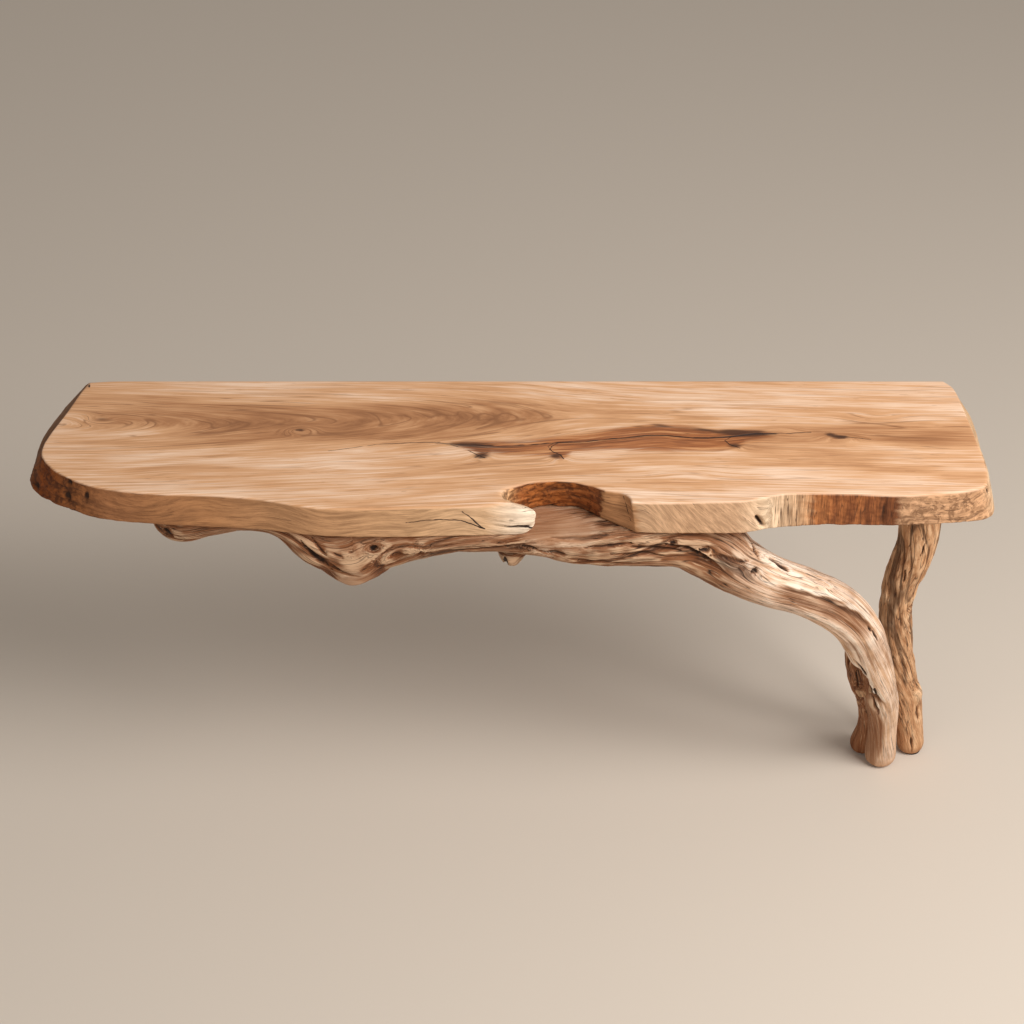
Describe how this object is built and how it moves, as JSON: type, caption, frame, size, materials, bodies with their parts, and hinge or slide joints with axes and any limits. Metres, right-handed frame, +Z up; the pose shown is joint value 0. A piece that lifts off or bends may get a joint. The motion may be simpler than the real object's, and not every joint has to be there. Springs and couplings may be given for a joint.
{
  "type": "driftwood console table",
  "caption": "Wall-held console table with a live-edge wooden slab carried at one end by a bent driftwood limb and driftwood legs.",
  "frame": {"origin": "on the floor, under the middle of the slab's outline", "axes": "+X along the slab towards the legs' end, +Y towards the wall, +Z up"},
  "size_m": [1.6489, 0.3987, 0.745],
  "materials": {
    "slab_wood": "fine-sanded, thin matt oil",
    "driftwood_pale": "weathered, sea-worn, dry",
    "driftwood_inner": "weathered, sea-worn, dry",
    "driftwood_brown": "weathered, rough, dry",
    "hardwood": "turned, unfinished",
    "plug_wood": "sanded flush",
    "screw_steel": "zinc plated",
    "bracket_steel": "matt black powder coat",
    "pad_felt": "pressed felt"
  },
  "bodies": {
    "root": {"slab_top": "slab_wood", "driftwood_limb": "driftwood_pale", "inner_leg": "driftwood_inner", "right_leg": "driftwood_brown", "right_leg_dowel": "hardwood", "limb_screws": "screw_steel", "limb_washers": "screw_steel", "limb_plugs": "plug_wood", "inner_leg_screws": "screw_steel", "inner_leg_plugs": "plug_wood", "wall_bracket_left": "bracket_steel", "wall_bracket_centre": "bracket_steel", "wall_bracket_right": "bracket_steel", "bracket_screws": "screw_steel", "foot_pad_front": "pad_felt", "foot_pad_inner": "pad_felt", "foot_pad_right": "pad_felt"}
  },
  "joints": []
}
